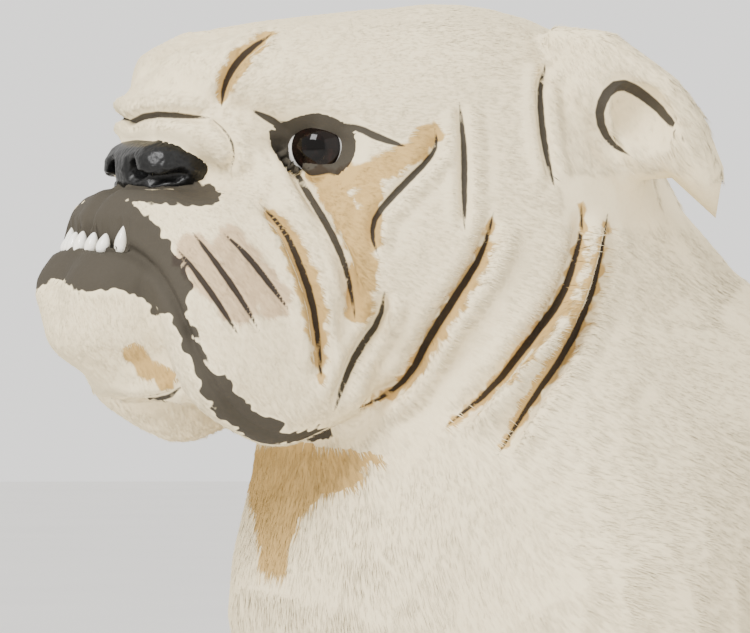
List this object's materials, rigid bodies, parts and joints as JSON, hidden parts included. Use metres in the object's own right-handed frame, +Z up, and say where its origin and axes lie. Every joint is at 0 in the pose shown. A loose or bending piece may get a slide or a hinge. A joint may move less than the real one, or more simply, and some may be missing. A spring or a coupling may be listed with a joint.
{
  "type": "english bulldog",
  "caption": "Life-size standing bulldog with a broad wrinkled head, undershot jaw, hanging lips and rose ears, for scenes and displays.",
  "frame": {"origin": "on the floor under the middle of the animal's bounding box", "axes": "+X to the dog's own left, +Y from its nose to its tail, +Z up"},
  "size_m": [0.375, 0.6002, 0.537],
  "materials": {
    "coat": "short smooth coat, pale fawn",
    "nose_leather": "moist, slightly glossy black",
    "eye": "wet gloss, very dark brown"
  },
  "bodies": {
    "root": {"head": "coat", "lower_jaw": "coat", "nose": "nose_leather", "ear_left": "coat", "ear_right": "coat", "eye_left": "eye", "eye_right": "eye", "neck": "coat", "torso": "coat", "foreleg_left": "coat", "foreleg_right": "coat", "forepaw_left": "coat", "forepaw_right": "coat", "hindleg_left": "coat", "hindleg_right": "coat", "hindpaw_left": "coat", "hindpaw_right": "coat", "tail": "coat"}
  },
  "joints": []
}
